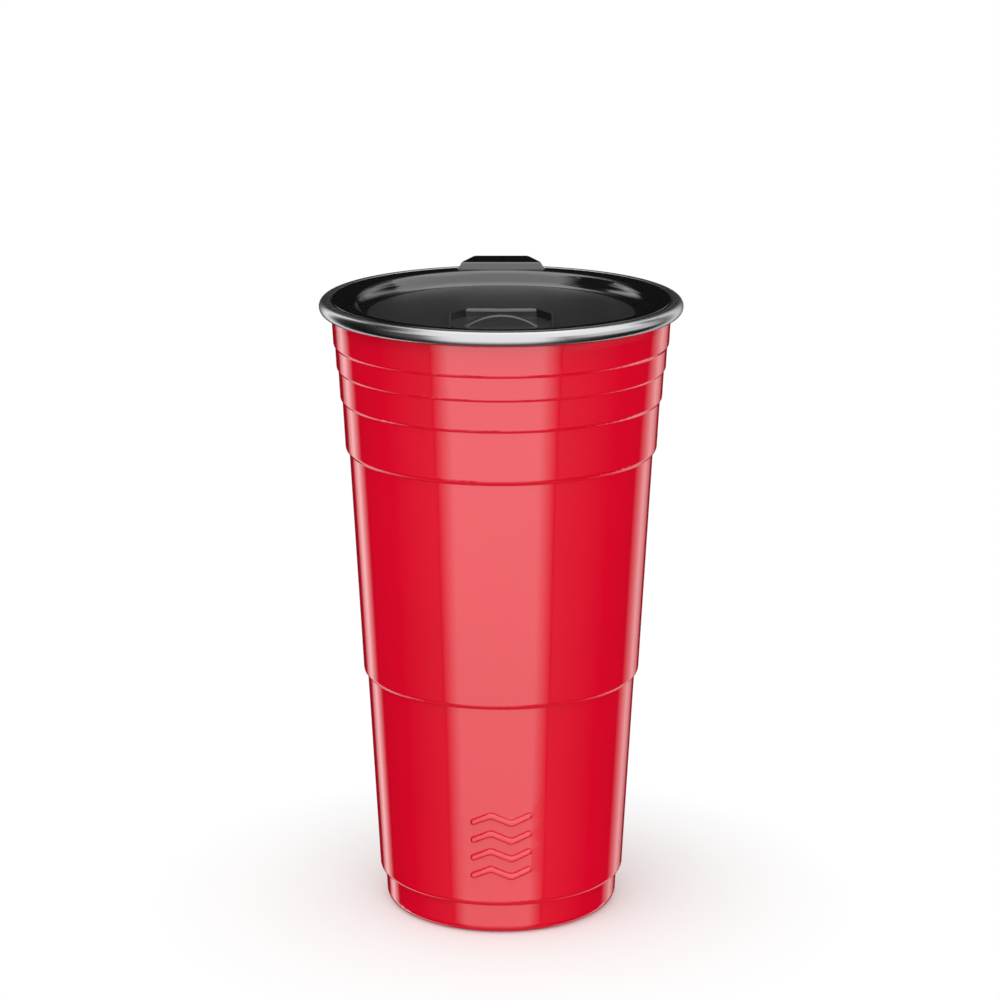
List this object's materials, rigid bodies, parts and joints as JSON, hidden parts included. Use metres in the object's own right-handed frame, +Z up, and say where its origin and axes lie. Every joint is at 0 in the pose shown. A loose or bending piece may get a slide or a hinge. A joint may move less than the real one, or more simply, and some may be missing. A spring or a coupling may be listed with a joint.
{
  "type": "insulated steel party cup with slide lid",
  "caption": "Double-wall steel tumbler shaped like a stepped party cup, red lacquer outside, rolled steel rim, black press-in lid with lift tab and slide closure.",
  "frame": {"origin": "centre of the foot's contact ring on the table", "axes": "+Z up along the cup's axis, -Y towards the drinking side of the lid, +Y towards its lift tab, +X to the right when seen from the drinking side"},
  "size_m": [0.104, 0.1102, 0.1822],
  "materials": {
    "red_lacquer": "smooth glossy red lacquer over steel",
    "polished_steel": "polished stainless steel",
    "brushed_base_steel": "stamped stainless steel, turned grain",
    "getter_metal": "pressed dark grey metal powder",
    "seal_solder": "dull solder",
    "smoke_black_plastic": "glossy moulded smoke-black plastic",
    "black_silicone": "matt food-grade silicone",
    "satin_black_plastic": "moulded black plastic, slightly satin grip"
  },
  "bodies": {
    "cup": {"outer_shell": "red_lacquer", "inner_liner": "polished_steel", "base_plate": "brushed_base_steel", "getter_pellet": "getter_metal", "seal_bead": "seal_solder"},
    "lid": {"lid_body": "smoke_black_plastic", "lid_gasket": "black_silicone"},
    "shutter": {"slide_shutter": "satin_black_plastic"}
  },
  "joints": [
    {"name": "lid_lift", "type": "slide", "parent": "cup", "child": "lid", "axis": [0, 0, 1], "range_m": [0, 0.06]},
    {"name": "shutter_slide", "type": "slide", "parent": "lid", "child": "shutter", "axis": [0, 1, 0], "range_m": [0, 0.0104]}
  ]
}
